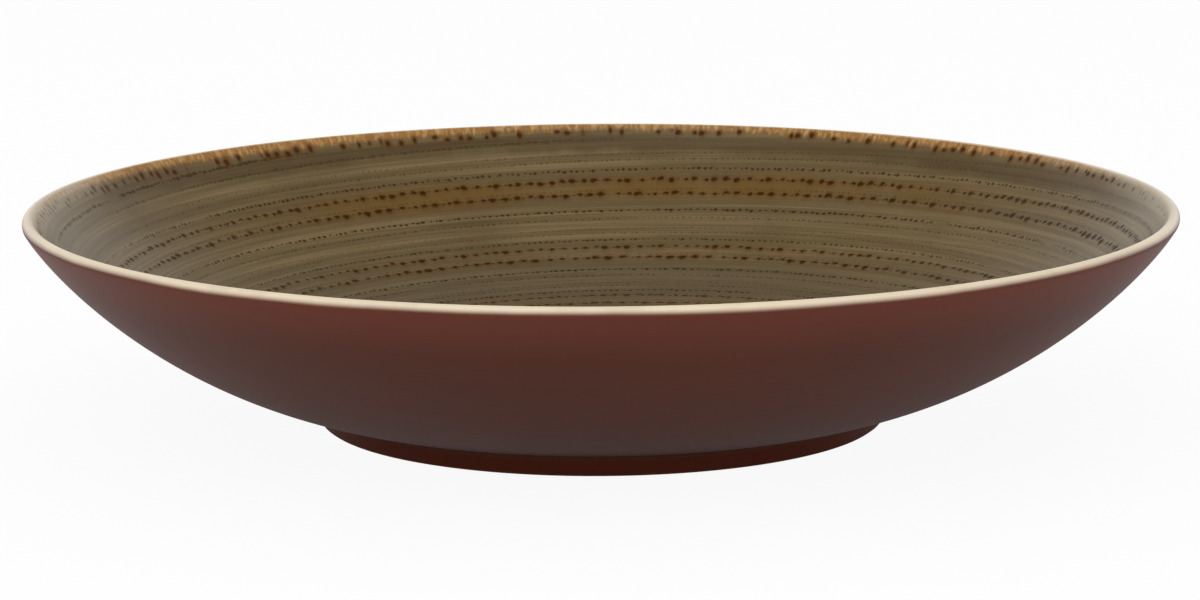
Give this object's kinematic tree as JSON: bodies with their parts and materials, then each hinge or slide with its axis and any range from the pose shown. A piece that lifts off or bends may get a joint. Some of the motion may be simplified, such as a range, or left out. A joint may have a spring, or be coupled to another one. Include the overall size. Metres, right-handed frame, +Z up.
{
  "type": "deep coupe plate",
  "caption": "Deep rimless stoneware plate on a foot ring: curved wall, speckled khaki glaze inside, satin red-brown outside, pale lip; serves pasta, soup or salad.",
  "frame": {"origin": "centre of the foot ring, on the surface that the plate stands on", "axes": "+Z up along the turning axis; X and Y across the rim"},
  "size_m": [0.26, 0.26, 0.049],
  "materials": {
    "bare_clay": "unglazed, fine and dry",
    "khaki_glaze": "satin-gloss khaki reactive glaze, with a spiral of dark speckled throwing rings",
    "pale_glaze": "glossy ivory glaze, thin over the lip",
    "red_brown_glaze": "satin-matt red-brown glaze"
  },
  "bodies": {
    "root": {"clay_body": "bare_clay", "inside_glaze": "khaki_glaze", "lip_glaze": "pale_glaze", "outside_glaze": "red_brown_glaze", "foot_well_glaze": "red_brown_glaze"}
  },
  "joints": []
}
